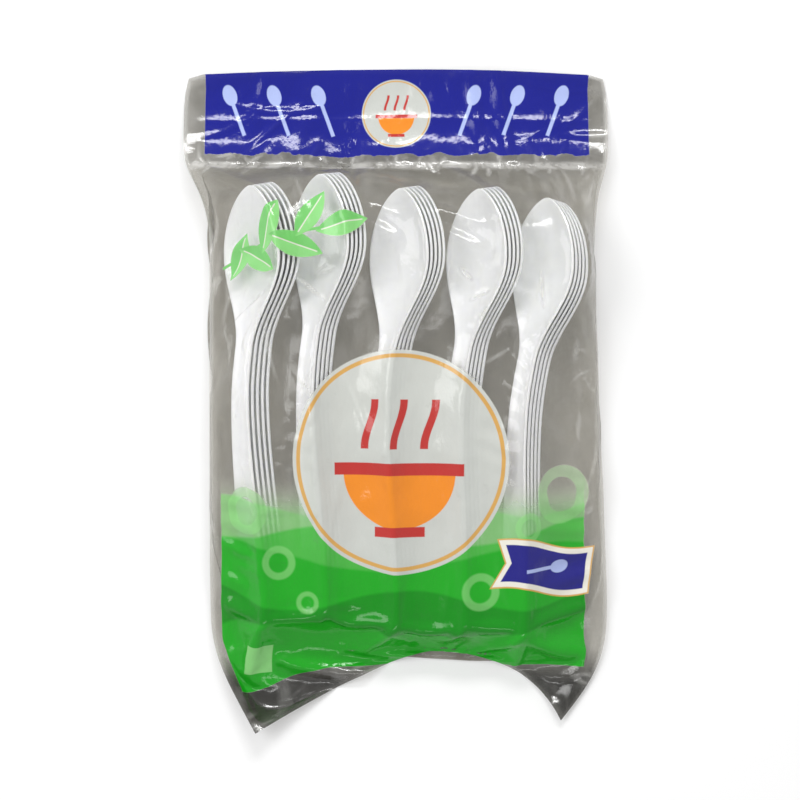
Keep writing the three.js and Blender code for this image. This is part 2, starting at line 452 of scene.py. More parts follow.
spoons = standing_spoons()
all_points = np.concatenate([points.reshape(-1, 3) for points in spoons.values()])
print("spoons reach from", all_points.min(axis=0).round(1), "to", all_points.max(axis=0).round(1))

# %% [markdown]
# ## White moulded plastic
# The spoons are polystyrene: white with a faint green grey in the shade, glossy but never a mirror. A
# little subsurface light softens the thin rims. Slow noise varies the gloss and the white, as moulding
# does, and fine noise gives the bump of the polished steel that the plastic was pressed against.

# %% The spoons' finish
SPOON_WHITE = (0.955, 0.975, 0.955, 1)
SPOON_SHADE = (0.92, 0.945, 0.92, 1)
SPOON_ROUGHNESS = 0.24
ROUGHNESS_SPREAD = 0.12
INNER_LIGHT_COLOUR = (1.0, 1.0, 0.92)
INNER_LIGHT_REACH = 1.6 * MM
BLOTCHES_PER_METRE = 60.0
GRAINS_PER_METRE = 900.0
GRAIN_HEIGHT = 0.04 * MM
GRAIN_STRENGTH = 0.5


def spoon_plastic():
    material, tree = new_material("spoon_plastic")
    place = add_node(tree, "TexCoord").outputs["Object"]
    blotch = noise(tree, place, BLOTCHES_PER_METRE)
    inputs = {
        "Base Color": blend_colours(tree, blotch, SPOON_SHADE, SPOON_WHITE),
        "Roughness": blotch * ROUGHNESS_SPREAD + SPOON_ROUGHNESS,
        "Subsurface Weight": 1.0,
        "Subsurface Radius": INNER_LIGHT_COLOUR,
        "Subsurface Scale": INNER_LIGHT_REACH,
        "Normal": bump(tree, noise(tree, place, GRAINS_PER_METRE), GRAIN_HEIGHT, GRAIN_STRENGTH),
    }
    add_node(tree, "OutputMaterial", {"Surface": add_node(tree, "BsdfPrincipled", inputs)})
    return material


def mesh_piece(name, points, faces, *materials):
    """A smooth mesh object from points in millimetres."""
    mesh = bpy.data.meshes.new(name)
    mesh.from_pydata((points.reshape(-1, 3) * MM).tolist(), [], faces)
    for material in materials:
        mesh.materials.append(material)
    mesh.shade_smooth()
    piece = bpy.data.objects.new(name, mesh)
    scene.collection.objects.link(piece)
    return piece


white_plastic = spoon_plastic()
for node, points in spoons.items():
    piece = mesh_piece(node + "_fine", points, spoon_faces, white_plastic)
    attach(piece, "root")
    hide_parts(node)
print("made", len(spoons), "spoons")

# %% [markdown]
# ## What the film lies on
# The film touches only the top of the heap: rims, tips and handles. A height field holds that well: a grid
# of half millimetre cells with the highest point of any spoon in each. Film can't follow the narrow slits
# between rims, so the field is closed: grown by a few cells and shrunk again, which fills what is narrower
# than that. It stays grown by two cells, so that no sharp rim comes through between two points of the film.

# %% The highest point over each cell
CELL = 0.5
FIELD_MARGIN = 4.0
SLIT_CELLS = 8
RIM_CELLS = 2
FINE_ALONG = 640
FINE_ACROSS = 80
HEAP_BLUR = 4

film_low, film_high = (np.array(corner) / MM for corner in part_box("bag_film"))
field_low = film_low[:2] - FIELD_MARGIN
field_high = film_high[:2] + FIELD_MARGIN
field_shape = np.ceil((field_high - field_low) / CELL).astype(int) + 1


def cells_of(points):
    """The two numbers of the cell that each point lies in."""
    cells = np.round((points[..., :2] - field_low) / CELL).astype(int)
    return cells[..., 0], cells[..., 1]


def resampled(points, rows, columns):
    """A grid of points sampled more finely along its rows and columns."""
    for axis, count in ((0, rows), (1, columns)):
        place = np.linspace(0, points.shape[axis] - 1, count)
        low = np.minimum(place.astype(int), points.shape[axis] - 2)
        share = (place - low).reshape([-1 if i == axis else 1 for i in range(3)])
        points = np.take(points, low, axis) * (1 - share) + np.take(points, low + 1, axis) * share
    return points


def grown(field, cells):
    """Each cell takes the highest value in a square around it."""
    for axis in (0, 1):
        shifted = [np.roll(field, step, axis) for step in range(-cells, cells + 1)]
        field = np.max(shifted, axis=0)
    return field


def blurred(field, rounds):
    for _ in range(rounds):
        for axis in (0, 1):
            field = (np.roll(field, 1, axis) + 2 * field + np.roll(field, -1, axis)) / 4
    return field


heap = np.zeros(field_shape)
for points in spoons.values():
    for side in (points[:, :ACROSS_COUNT], points[:, ACROSS_COUNT + 1 : -1]):
        fine_side = resampled(side, FINE_ALONG, FINE_ACROSS)
        np.maximum.at(heap, cells_of(fine_side), fine_side[..., 2])
heap = -grown(-grown(heap, SLIT_CELLS + RIM_CELLS), SLIT_CELLS)
heap = np.maximum(heap, blurred(heap, HEAP_BLUR))
print("heap height in mm:", round(float(heap.max()), 1))

# %% Reading the height field between cells
LAST_CELL = 1.001


def heap_height(x, y):
    place_x = np.clip((x - field_low[0]) / CELL, 0, field_shape[0] - LAST_CELL)
    place_y = np.clip((y - field_low[1]) / CELL, 0, field_shape[1] - LAST_CELL)
    cell_x = place_x.astype(int)
    cell_y = place_y.astype(int)
    share_x = place_x - cell_x
    share_y = place_y - cell_y
    near = heap[cell_x, cell_y] * (1 - share_x) + heap[cell_x + 1, cell_y] * share_x
    far = heap[cell_x, cell_y + 1] * (1 - share_x) + heap[cell_x + 1, cell_y + 1] * share_x
    return near * (1 - share_y) + far * share_y


print("height over the middle of the pack:", round(float(heap_height(np.zeros(1), np.zeros(1))[0]), 1))

# %% [markdown]
# ## The cut of the bag
# The bag is two sheets of film, joined all round, with the header above the seal and two loose corners at
# the foot. Its outline in plan follows the CAD model's, drawn in a little further at the waist. A grid that
# follows the outline gives smooth edges: straight rows in the body, and in the header and the foot a patch
# stretched between four border curves.

# %% The borders of the bag in plan
HEADER_HEIGHT = 34.0
HEADER_OVERHANG_LEFT = 9.5
HEADER_OVERHANG_RIGHT = 5.0
HEADER_CORNER = 7.0
HEADER_CROWN = 2.0
WAIST_DROP = 27.0
BELLY_BULGE = 4.9
EAR_LEFT_LENGTH = 29.0
EAR_LEFT_INSET = 16.5
EAR_RIGHT_LENGTH = 25.0
EAR_RIGHT_INSET = 12.0
NOTCH_PLACE = 13.0
FOOT_BAND = 12.0
FILM_STEP = 1.4

header_left = film_low[0]
header_right = film_high[0]
body_left = header_left + HEADER_OVERHANG_LEFT
body_right = header_right - HEADER_OVERHANG_RIGHT
top_edge = film_high[1] - HEADER_CROWN
seal = top_edge - HEADER_HEIGHT
foot = film_low[1] + EAR_LEFT_LENGTH
waist = seal - WAIST_DROP
band_top = foot + FOOT_BAND


def bend(start, pull, end, count=40):
    """A quadratic curve from start to end, drawn towards pull."""
    share = np.linspace(0, 1, count)[:, None]
    start, pull, end = np.array(start), np.array(pull), np.array(end)
    return (1 - share) ** 2 * start + 2 * share * (1 - share) * pull + share**2 * end


def spaced(line, count):
    """A polyline resampled to points at equal distances along it."""
    steps = np.linalg.norm(np.diff(line, axis=0), axis=1)
    along = np.concatenate([[0], np.cumsum(steps)])
    places = np.linspace(0, along[-1], count)
    return np.stack([np.interp(places, along, line[:, k]) for k in (0, 1)], axis=1)


def patch(low, high, left, right):
    """A grid of points between four border curves that share their corners."""
    across = np.linspace(0, 1, len(low))[None, :, None]
    up = np.linspace(0, 1, len(left))[:, None, None]
    between = (1 - up) * low[None] + up * high[None] + (1 - across) * left[:, None] + across * right[:, None]
    low_corners = (1 - across) * low[0] + across * low[-1]
    high_corners = (1 - across) * high[0] + across * high[-1]
    return between - (1 - up) * low_corners - up * high_corners


columns = int((body_right - body_left) / FILM_STEP) + 1
print("seal, foot and waist in mm:", round(seal, 1), round(foot, 1), round(waist, 1))


# %% The grid of film points in plan
def side_edge(y, side):
    """The left or right edge of the body at the heights y."""
    body, header = (body_left, header_left) if side < 0 else (body_right, header_right)
    curve = bend((body, waist), (body, seal - abs(header - body)), (header, seal))
    edge = np.interp(y, curve[:, 1], curve[:, 0])
    belly = BELLY_BULGE * (1 - smoothstep(y, foot, waist)) if side > 0 else 0
    return edge + belly


def body_grid():
    rows = int((seal - band_top) / FILM_STEP) + 1
    y = np.linspace(band_top, seal, rows)
    share = np.linspace(0, 1, columns)[None, :]
    x = side_edge(y, -1)[:, None] * (1 - share) + side_edge(y, 1)[:, None] * share
    return np.stack([x, np.broadcast_to(y[:, None], x.shape)], axis=-1)


def header_grid(seal_row):
    """The header, with rounded upper corners and a slightly crowned top."""
    sides = []
    for x, inward in ((header_left, 1), (header_right, -1)):
        corner = (x + inward * HEADER_CORNER / 4, top_edge - HEADER_CORNER / 4)
        sides.append(np.array([(x, seal), (x, top_edge - HEADER_CORNER), corner]))
    left_top = (header_left + HEADER_CORNER, top_edge)
    right_top = (header_right - HEADER_CORNER, top_edge)
    crown = bend(left_top, (0, top_edge + 2 * HEADER_CROWN), right_top)
    high = spaced(np.concatenate([sides[0][-1:], crown, sides[1][-1:]]), columns)
    rows = int(HEADER_HEIGHT / FILM_STEP) + 1
    return patch(seal_row, high, *(spaced(side, rows) for side in sides))


def foot_grid(band_row):
    left_tip = np.array([body_left + EAR_LEFT_INSET, foot - EAR_LEFT_LENGTH])
    right_tip = np.array([body_right - EAR_RIGHT_INSET, foot - EAR_RIGHT_LENGTH])
    notch = np.array([NOTCH_PLACE, foot])
    left_half = bend(left_tip, (0, foot), notch)
    right_half = bend(notch, (right_tip[0] - EAR_RIGHT_INSET, foot), right_tip)
    low = spaced(np.concatenate([left_half, right_half[1:]]), columns)
    belly = np.array([body_right + BELLY_BULGE, foot])
    right_bend = bend(right_tip, (body_right, foot - EAR_RIGHT_LENGTH / 2), belly)
    right = np.concatenate([right_bend, [band_row[-1]]])
    left = np.array([left_tip, [body_left, foot], band_row[0]])
    rows = int((FOOT_BAND + EAR_LEFT_LENGTH) / 2 / FILM_STEP) + 1
    return patch(low, band_row, spaced(left, rows), spaced(right, rows))


body_plan = body_grid()
header_plan = header_grid(body_plan[-1])
foot_plan = foot_grid(body_plan[0])
plan = np.concatenate([foot_plan[:-1], body_plan, header_plan[1:]])
foot_rows = len(foot_plan) - 1
seal_row = foot_rows + len(body_plan) - 1
rows = len(plan)
print("film grid:", rows, "by", columns, "points")

# %% [markdown]
# ## Draping the film
# A filled bag is narrower than the flat one it was cut as, so the film is first given its flat size: wider
# and longer than the plan. Blender's Cloth can drape it, but at this size its collision gap is thicker than
# the film, and it is hard to keep a bag around 25 thin spoons. So the draping is written out here. Every
# point falls a little, links between neighbours pull it back to the flat distances, and it may sink neither
# into the heap nor through the other sheet. Repeated some hundred times, that is what a cloth simulation
# does.

# %% The flat size of each sheet
FLAT_HALF_HEADER = 77.6
FLAT_HALF_BODY = 78.0
FLAT_HALF_FOOT = 75.5
BODY_STRETCH = 1.085
FOOT_STRETCH = 1.06


def flat_cut():
    """The plan's points, moved to where they lie on the flat cut film."""
    flat = plan.copy()
    y = plan[:, :, 1]
    left = plan[:, :1, 0]
    right = plan[:, -1:, 0]
    half = (right - left) / 2
    wanted = FLAT_HALF_FOOT + (FLAT_HALF_BODY - FLAT_HALF_FOOT) * smoothstep(y[:, :1], foot, waist)
    wanted[:foot_rows] = half[:foot_rows] * FLAT_HALF_FOOT / half[foot_rows]
    wanted[seal_row:] = half[seal_row:] * FLAT_HALF_HEADER / half[seal_row]
    flat[:, :, 0] = (plan[:, :, 0] - (left + right) / 2) * wanted / half
    stretch = np.where(y < band_top, FOOT_STRETCH, np.where(y < seal, BODY_STRETCH, 1.0))
    flat[1:, :, 1] = y[:1] + np.cumsum(np.diff(y, axis=0) * (stretch[1:] + stretch[:-1]) / 2, axis=0)
    return flat


flat = flat_cut()
flat_size = flat.reshape(-1, 2).max(axis=0) - flat.reshape(-1, 2).min(axis=0)


def quad_area(points):
    """The area of a grid of points, by the cross product of each quad's diagonals."""
    first = points[1:, 1:] - points[:-1, :-1]
    second = points[1:, :-1] - points[:-1, 1:]
    if points.shape[-1] == 2:
        return np.abs(first[..., 0] * second[..., 1] - first[..., 1] * second[..., 0]).sum() / 2
    return np.linalg.norm(np.cross(first, second), axis=-1).sum() / 2


print("flat cut in mm:", flat_size.round(1), "area in cm2:", round(quad_area(flat) / 100, 1))

# %% Links between neighbouring points
EDGE_STIFFNESS = 0.9
SHEAR_STIFFNESS = 0.5
BEND_STIFFNESS = 0.16
STAY_STIFFNESS = 0.3
LINK_KINDS = [
    # rows down, columns to the right and stiffness
    (0, 1, EDGE_STIFFNESS),
    (1, 0, EDGE_STIFFNESS),
    (1, 1, SHEAR_STIFFNESS),
    (1, -1, SHEAR_STIFFNESS),
    (0, 2, BEND_STIFFNESS),
    (2, 0, BEND_STIFFNESS),
]
SHEETS = 2


def link_group(first, second, stiffness):
    """Links between points of both sheets: their two ends, flat lengths and stiffness."""
    cut = flat.reshape(-1, 2)
    length = np.linalg.norm(cut[second] - cut[first], axis=1)
    starts = np.concatenate([first + sheet * len(cut) for sheet in range(SHEETS)])
    ends = np.concatenate([second + sheet * len(cut) for sheet in range(SHEETS)])
    return starts, ends, np.tile(length, SHEETS), stiffness


def film_links():
    """Groups of links in which no two share a point, so that a whole group can be pulled at once."""
    number = np.arange(rows * columns).reshape(rows, columns)
    groups = []
    for down, right, stiffness in LINK_KINDS:
        row = np.arange(rows - down)
        column = np.arange(max(0, -right), columns - max(0, right))
        first = number[np.ix_(row, column)]
        second = number[np.ix_(row + down, column + right)]
        turn = (row // down % 2)[:, None] if down else (column // right % 2)[None, :]
        turn = np.broadcast_to(turn, first.shape)
        for parity in (0, 1):
            groups.append(link_group(first[turn == parity], second[turn == parity], stiffness))
    header_middle = (seal_row + rows) // 2
    for low, high in ((seal_row, rows - 1), (seal_row, header_middle), (header_middle, rows - 1)):
        groups.append(link_group(number[low], number[high], STAY_STIFFNESS))
    return groups


link_groups = film_links()
print("links:", sum(len(group[0]) for group in link_groups))

# %% Start from a skin stretched over the heap
SKIN_ROUNDS = 500
EDGE_HEIGHT = 6.0
LOOSE_HEIGHT = 1.5
FILM_GAP = 0.25
START_RIPPLE = 1.0
START_BLUR = 3
SEED = 25
BORDERS = (np.s_[0], np.s_[-1], np.s_[:, 0], np.s_[:, -1])

rng = np.random.default_rng(SEED)


def neighbour_mean(field):
    """The mean of the four neighbours of each inner point."""
    return (field[:-2, 1:-1] + field[2:, 1:-1] + field[1:-1, :-2] + field[1:-1, 2:]) / 4


def skin_over_heap():
    """Heights of a tight skin: each point is the mean of its neighbours, or lies on the heap."""
    support = heap_height(plan[:, :, 0], plan[:, :, 1]) + FILM_GAP
    edge = np.full((rows, columns), EDGE_HEIGHT)
    edge[: foot_rows // 2] = LOOSE_HEIGHT
    edge[-2:] = LOOSE_HEIGHT
    skin = np.maximum(support, edge)
    for _ in range(SKIN_ROUNDS):
        skin[1:-1, 1:-1] = neighbour_mean(skin)
        skin = np.maximum(skin, support)
        for border in (*BORDERS, seal_row):
            skin[border] = edge[border]
    return skin


film = np.zeros((SHEETS, rows, columns, 3))
film[:, :, :, :2] = plan
film[0, :, :, 2] = skin_over_heap() + blurred(rng.normal(0, START_RIPPLE, (rows, columns)), START_BLUR)
film[1, :, :, 2] = FILM_GAP
print("skin height in mm:", round(float(film[0, :, :, 2].max()), 1))

# %% Let it fall, pull and rest
DRAPE_ROUNDS = 700
FALL = 0.0025
KEEP_SPEED = 0.96
TOP_SPEED = 1.0
TINY = 1e-9
EDGE_GUIDE = 0.3
FLOOR_CLEAR = 0.1
LAYER_GAP = 0.12
HEAP_FOOTPRINT = 0.5


def pull_links(points):
    for first, second, length, stiffness in link_groups:
        gap = points[second] - points[first]
        long = np.sqrt((gap * gap).sum(axis=1)) + TINY
        excess = 1 - length / long
        if stiffness == BEND_STIFFNESS:
            excess = np.minimum(excess, 0)
        move = (0.5 * stiffness * excess)[:, None] * gap
        points[first] += move
        points[second] -= move


def join_borders(sheets):
    """Both sheets share their border and the seal, and the border stays near the plan."""
    for border in (*BORDERS, seal_row):
        middle = (sheets[0][border] + sheets[1][border]) / 2
        middle[..., :2] += (plan[border] - middle[..., :2]) * EDGE_GUIDE
        sheets[0][border] = middle
        sheets[1][border] = middle


def keep_out(sheets):
    """Lifts the front off the heap and off the back, and keeps the back under the heap and off the floor."""
    front, back = sheets
    top = heap_height(front[..., 0], front[..., 1])
    under = heap_height(back[..., 0], back[..., 1]) > HEAP_FOOTPRINT
    back[..., 2] = np.where(under, np.minimum(back[..., 2], FILM_GAP), back[..., 2])
    back[..., 2] = np.maximum(back[..., 2], FLOOR_CLEAR)
    front[..., 2] = np.maximum(front[..., 2], top + FILM_GAP)
    front[1:-1, 1:-1, 2] = np.maximum(front[1:-1, 1:-1, 2], back[1:-1, 1:-1, 2] + LAYER_GAP)


def drape(sheets, rounds):
    before = sheets.copy()
    for _ in range(rounds):
        speed = (sheets - before) * KEEP_SPEED
        before = sheets.copy()
        sheets += np.clip(speed, -TOP_SPEED, TOP_SPEED)
        sheets[..., 2] -= FALL
        pull_links(sheets.reshape(-1, 3))
        join_borders(sheets)
        keep_out(sheets)
    return sheets


film = drape(film, DRAPE_ROUNDS)
for name, sheet in zip(("front", "back"), film):
    share = quad_area(sheet) / quad_area(flat)
    print(name, "sheet: area share", round(share, 3), "height", round(float(sheet[..., 2].max()), 1))

# %% [markdown]
# ## Finer points and creases
# The draped grid is coarse for a picture, so it is sampled twice as finely with a smooth curve through its
# points. Film also keeps the marks of handling: slow ripples, and sharp creases that catch the light as
# thin lines. They are small heights added to the draped sheet. Creases crowd along the seal and in the
# loose corners.

# %% Sample the sheets twice as finely
IRON_ROUNDS = 24
IRON_COLUMNS = (1, 8)
PRESS_ROUNDS = 8


def ironed(sheet):
    """The weld irons the sides: small ripples are smoothed away on the border, and less and less inwards."""
    smooth = sheet.copy()
    for _ in range(IRON_ROUNDS):
        smooth[1:-1] = (smooth[:-2] + 2 * smooth[1:-1] + smooth[2:]) / 4
    column = np.minimum(np.arange(columns), np.arange(columns)[::-1])
    share = 1 - smoothstep(column, *IRON_COLUMNS)[None, :, None]
    return sheet * (1 - share) + smooth * share


def pressed(sheet):
    """The pack lies on its back sheet, which presses the smallest folds out of it."""
    smooth = sheet.copy()
    for _ in range(PRESS_ROUNDS):
        smooth[1:-1, 1:-1] = (smooth[1:-1, 1:-1] + neighbour_mean(smooth)) / 2
    return smooth


def finer(points):
    """Catmull-Rom points halfway between the rows, then halfway between the columns."""
    for axis in (0, 1):
        points = np.moveaxis(points, axis, 0)
        padded = np.concatenate([2 * points[:1] - points[1:2], points, 2 * points[-1:] - points[-2:-1]])
        half = (9 * (padded[1:-2] + padded[2:-1]) - padded[:-3] - padded[3:]) / 16
        result = np.empty((2 * len(points) - 1, *points.shape[1:]))
        result[0::2] = points
        result[1::2] = half
        points = np.moveaxis(result, 0, axis)
    return points


front_points = finer(ironed(film[0]))
back_points = finer(ironed(pressed(film[1])))
fine_plan = finer(np.concatenate([plan, np.zeros((rows, columns, 1))], axis=2))[:, :, :2]
print("points in each sheet:", front_points.shape[0] * front_points.shape[1])

# %% Ripples and creases
RIPPLE_HEIGHT = 0.09
QUICK_RIPPLE = 16
SLOW_RIPPLE = 60
CREASE_HEIGHT = (0.15, 0.5)
CREASE_WIDTH = (1.4, 2.4)
CREASE_BOW = 0.012
CREASE_ZONES = [
    # number, lowest corner, highest corner, middle angle and its spread in degrees, shortest and longest
    (80, (-73.0, seal - 3), (73.0, seal + 8), 70.0, 60.0, (4.0, 12.0)),
    (9, (-72.0, seal + 10), (72.0, top_edge), 20.0, 30.0, (20.0, 48.0)),
    (24, (-66.0, foot), (66.0, seal - 6), 95.0, 30.0, (14.0, 40.0)),
    (22, (-62.0, -20.0), (68.0, 46.0), 70.0, 70.0, (6.0, 18.0)),
    (18, (-64.0, foot - EAR_LEFT_LENGTH), (-6.0, foot + 3), 28.0, 18.0, (12.0, 34.0)),
    (14, (24.0, foot - EAR_RIGHT_LENGTH), (73.0, foot + 3), 150.0, 30.0, (8.0, 24.0)),
]


def one_crease(x, y, middle, angle, length, width, bow):
    """A ridge along a slightly bowed line: 1 on the line, 0 a width away from it and past its ends."""
    along = (x - middle[0]) * math.cos(angle) + (y - middle[1]) * math.sin(angle)
    across = (y - middle[1]) * math.cos(angle) - (x - middle[0]) * math.sin(angle) - bow * along**2
    ridge = np.maximum(0, 1 - np.abs(across) / width)
    return ridge * np.maximum(0, 1 - (2 * along / length) ** 2)


def crease_heights():
    x, y = fine_plan[..., 0], fine_plan[..., 1]
    height = np.zeros(x.shape)
    for count, low, high, angle, spread, lengths in CREASE_ZONES:
        for _ in range(count):
            middle = rng.uniform(low, high)
            turn = math.radians(angle + rng.uniform(-spread, spread))
            length = rng.uniform(*lengths)
            width = rng.uniform(*CREASE_WIDTH)
            bow = rng.uniform(-CREASE_BOW, CREASE_BOW)
            ridge = one_crease(x, y, middle, turn, length, width, bow)
            height = np.maximum(height, ridge * rng.uniform(*CREASE_HEIGHT))
    return height


def ripple_heights(rounds):
    ripple = blurred(rng.normal(0, 1, fine_plan.shape[:2]), rounds)
    return ripple / ripple.std() * RIPPLE_HEIGHT


def inside_border(field):
    """The same field, with 0 on the border where both sheets meet."""
    result = np.zeros_like(field)
    result[1:-1, 1:-1] = field[1:-1, 1:-1]
    return result


creases = crease_heights()
ripples = creases + ripple_heights(QUICK_RIPPLE) + ripple_heights(SLOW_RIPPLE)
front_points[..., 2] += inside_border(ripples)
support = heap_height(front_points[..., 0], front_points[..., 1]) + FILM_GAP
support = np.maximum(support, FLOOR_CLEAR + LAYER_GAP)
front_points[1:-1, 1:-1, 2] = np.maximum(front_points, support[..., None])[1:-1, 1:-1, 2]
front_points[..., 2] = np.maximum(front_points[..., 2], FLOOR_CLEAR)
print("film stands", round(float(front_points[..., 2].max()), 1), "mm high")

# %% [markdown]
# Where nothing lies between the two sheets, in the header and the loose corners, they cling together. The
# back sheet there takes the front's shape, a hair lower. Elsewhere the two slide sideways over one another,
# so a height field of the lowest front film tells how high the back may stand without coming through.

# %% Let the empty parts cling together
CLING_NEAR = 1.0
CLING_FAR = 3.0


def cling(front_sheet, back_sheet):
    gap = front_sheet[..., 2] - back_sheet[..., 2]
    share = 1 - smoothstep(gap, CLING_NEAR, CLING_FAR)
    share = np.maximum(share, (np.arange(len(gap)) > 2 * seal_row)[:, None])[..., None]
    lower = front_sheet - inside_border(np.full(gap.shape, LAYER_GAP))[..., None] * (0, 0, 1)
    result = back_sheet * (1 - share) + lower * share
    result[..., 2] = np.maximum(result[..., 2], FLOOR_CLEAR)
    return result


def tuck_under(back_sheet, front_sheet):
    """Keeps the back under the lowest front film around each point, where the sheets have slid apart."""
    lowest = np.full(field_shape, np.inf)
    np.minimum.at(lowest, cells_of(front_sheet), front_sheet[..., 2])
    lowest = -grown(-lowest, 1)
    slid = np.linalg.norm((back_sheet - front_sheet)[..., :2], axis=-1) > CELL
    limit = np.where(slid, lowest[cells_of(back_sheet)] - LAYER_GAP, np.inf)
    tucked = np.maximum(np.minimum(back_sheet[..., 2], limit), FLOOR_CLEAR)
    back_sheet[1:-1, 1:-1, 2] = tucked[1:-1, 1:-1]


back_points = cling(front_points, back_points)
tuck_under(back_points, front_points)
sheet_gap = front_points[..., 2] - back_points[..., 2]
print("share of the back that clings:", round(float((sheet_gap < 2 * LAYER_GAP).mean()), 2))

# %% [markdown]
# ## The print
# The face is printed in a few inks: a blue header, a green foot and small pictures. Each shape is a
# distance: below zero inside, above zero outside. A narrow ramp turns a distance into a mask, and the masks
# are laid over one another as inks are on a press. The place of each point comes from the UV map, which
# holds the plan.

# %% Where on the film a point is
UV_SPAN = (160.0, 250.0)
UV_MIDDLE = 0.5
INK_EDGE = 0.35


def vector_node(tree, operation, vector, other):
    return add_node(tree, "VectorMath", {0: vector, 1: other}, operation=operation)


class FilmPlace:
    """A place on the film in millimetres: the vector itself, and x and y as fields."""

    def __init__(self, tree, vector):
        self.tree = tree
        self.vector = vector
        parts = add_node(tree, "SeparateXYZ", {0: vector})
        self.x = Field(tree, parts.outputs["X"])
        self.y = Field(tree, parts.outputs["Y"])

    def seen_from(self, middle, angle=0.0):
        """The same place, measured from another middle along turned axes."""
        turn = (0, 0, math.radians(angle))
        inputs = {"Vector": self.vector, "Location": (*middle, 0), "Rotation": turn}
        return FilmPlace(self.tree, add_node(self.tree, "Mapping", inputs, vector_type="TEXTURE"))

    def from_point(self, middle):
        node = vector_node(self.tree, "DISTANCE", self.vector, (*middle, 0))
        return Field(self.tree, node.outputs["Value"])

    def stretched(self, along):
        """The vector with its y scaled, so that noise is drawn out along the bag."""
        return vector_node(self.tree, "MULTIPLY", self.vector, (1.0, along, 1.0))


def place_on_film(tree):
    uv = add_node(tree, "UVMap", uv_map="plan")
    centred = vector_node(tree, "SUBTRACT", uv, (UV_MIDDLE, UV_MIDDLE, 0))
    return FilmPlace(tree, vector_node(tree, "MULTIPLY", centred, (*UV_SPAN, 0)))


def inked(distance, edge=INK_EDGE):
    """1 inside a shape and 0 outside, with a narrow soft edge."""
    return distance.ramp(edge / 2, -edge / 2)


print("the UV map spans in mm:", UV_SPAN)

# %% The shapes that the print is made of
MARK_BOWL = (0.32, 0.2, 0.13)
MARK_HANDLE = (-0.17, 0.33, 0.035)


def disc(place, middle, radius):
    return place.from_point(middle) - radius


def oval(place, half_width, half_height):
    """An oval about the place's own middle."""
    x = place.x * (half_height / half_width)
    return (x * x + place.y * place.y).root() - half_height


def band(place, half_width, half_height):
    """A plain box about the place's own middle."""
    return (place.x.size() - half_width).most(place.y.size() - half_height)


def leaf(place, half_length, half_width):
    """A pointed leaf along x: its width falls off as a parabola."""
    share = place.x / half_length
    return place.y.size() - half_width * (1 - share * share)


def spoon_mark(place, length):
    """A small spoon along x: an oval bowl and a thin handle, both placed by shares of the length."""
    shapes = []
    for shape, shares in ((oval, MARK_BOWL), (band, MARK_HANDLE)):
        shift, half_length, half_width = (length * share for share in shares)
        shapes.append(shape(place.seen_from((shift, 0)), half_length, half_width))
    return shapes[0].least(shapes[1])


def soup_bowl(place, radius):
    """The lower half of a disc."""
    return disc(place, (0, 0), radius).most(place.y)


print("edges of the print fade over", INK_EDGE, "mm")

# %% Laying inks over one another
INK_BLUE = (0.006, 0.01, 0.25, 1)
INK_PALE_BLUE = (0.42, 0.5, 0.83, 1)
INK_MILK = (0.66, 0.68, 0.64, 1)
INK_CREAM = (0.83, 0.8, 0.71, 1)
INK_GOLD = (0.66, 0.37, 0.1, 1)
INK_ORANGE = (0.83, 0.26, 0.02, 1)
INK_RED = (0.5, 0.035, 0.03, 1)
INK_GREEN = (0.01, 0.37, 0.012, 1)
INK_DEEP_GREEN = (0.003, 0.255, 0.006, 1)
INK_FRESH_GREEN = (0.06, 0.48, 0.05, 1)
INK_PALE_GREEN = (0.25, 0.66, 0.2, 1)
INK_LEAF = (0.16, 0.55, 0.13, 1)
INK_RIBBON = (0.016, 0.015, 0.22, 1)
FULL_COVER = 0.98
DENSE_COVER = 0.97
LINE_COVER = 0.95
LEAF_COVER = 0.93
THIN_COVER = 0.9
MILKY_COVER = 0.8
VEIL_COVER = 0.6


class Printing:
    """The colour of the ink on the film so far, and how much of the film it covers."""

    def __init__(self, place):
        self.place = place
        self.tree = place.tree
        self.colour = INK_CREAM
        self.cover = None

    def lay(self, ink, mask, strength):
        self.colour = blend_colours(self.tree, mask, self.colour, ink)
        wanted = mask * strength
        self.cover = wanted if self.cover is None else self.cover * (1 - mask) + wanted


print("inks cover from", VEIL_COVER, "to", FULL_COVER, "of the light")

# %% [markdown]
# A medallion is drawn twice, small on the header and large on the face, so its parts are given as shares of
# its radius. The steam is a straight band whose middle line swings as a sine.

# %% A medallion with a steaming bowl
GOLD_INSET = 0.05
GOLD_HALF_WIDTH = 0.018
DISH_LIFT = -0.08
DISH_RADIUS = 0.52
DISH_BARS = [
    # lift, half width and half height of the rim and of the foot
    (-0.06, 0.6, 0.055),
    (-0.62, 0.24, 0.045),
]
STEAM_SHIFTS = (-0.28, 0.0, 0.28)
STEAM_LIFT = 0.34
STEAM_SWING = 0.05
STEAM_TURNS = 7.5
STEAM_HALF_WIDTH = 0.035
STEAM_HALF_HEIGHT = 0.22


